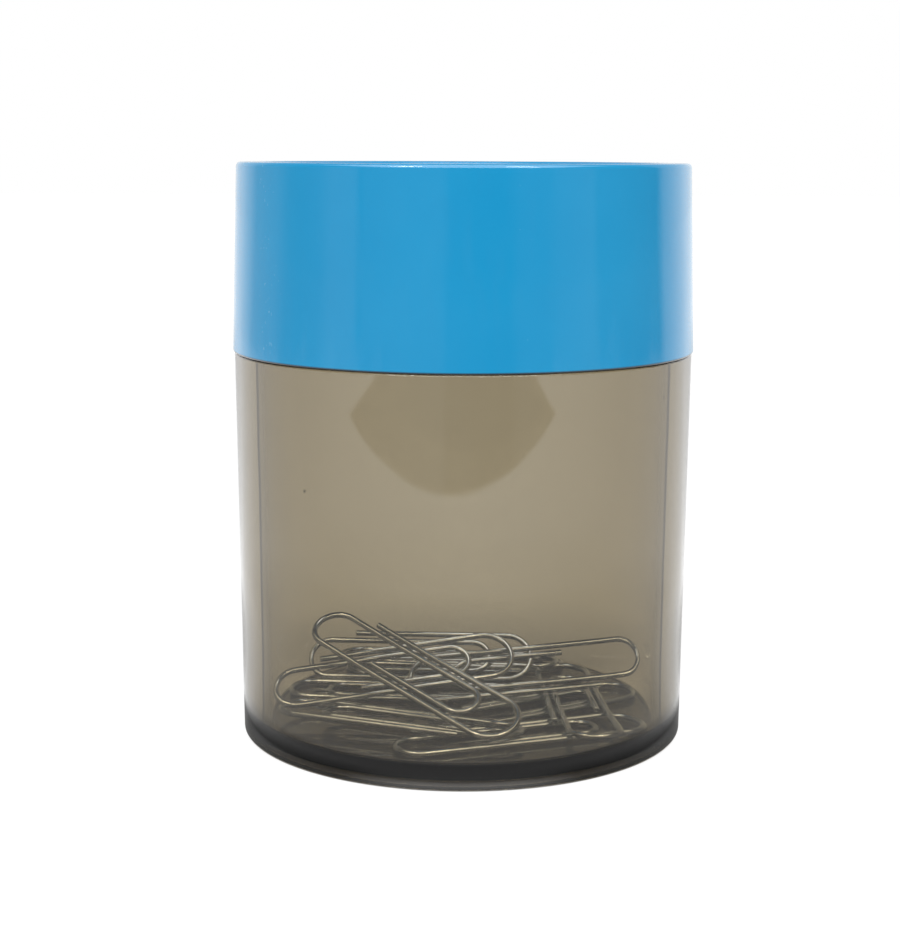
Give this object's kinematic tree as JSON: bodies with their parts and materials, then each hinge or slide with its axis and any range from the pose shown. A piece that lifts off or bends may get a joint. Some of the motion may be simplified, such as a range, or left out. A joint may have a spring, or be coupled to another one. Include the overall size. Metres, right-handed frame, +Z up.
{
  "type": "magnetic paper clip holder",
  "caption": "Round desk holder for paper clips: a smoke-clear cup with a blue dished lid whose ring magnet gathers clips around the mouth, with loose wire clips inside.",
  "frame": {"origin": "centre of the cup's foot, on the surface that it stands on", "axes": "+Z up along the holder's round axis; the front in the picture faces -Y and its right side is +X"},
  "size_m": [0.06, 0.06, 0.0747],
  "materials": {
    "smoke_plastic": "clear polystyrene with a brown smoke tint, polished",
    "blue_plastic": "glossy moulded cyan blue",
    "ferrite": "matt dark grey sintered ferrite",
    "black_plastic": "matt black moulding",
    "clip_wire": "drawn zinc-plated steel wire"
  },
  "bodies": {
    "cup": {"cup": "smoke_plastic"},
    "lid": {"lid": "blue_plastic", "magnet_ring": "ferrite", "magnet_retainer": "black_plastic"},
    "clips": {"clip_01": "clip_wire", "clip_02": "clip_wire", "clip_03": "clip_wire", "clip_04": "clip_wire", "clip_05": "clip_wire", "clip_06": "clip_wire", "clip_07": "clip_wire", "clip_08": "clip_wire", "clip_09": "clip_wire", "clip_10": "clip_wire", "clip_11": "clip_wire"}
  },
  "joints": [
    {"name": "lid_lift", "type": "slide", "parent": "cup", "child": "lid", "axis": [0, 0, 1], "range_m": [0, 0.04]},
    {"name": "clip_slide", "type": "slide", "parent": "cup", "child": "clips", "axis": [0, 0, 1], "range_m": [0, 0.04]}
  ]
}
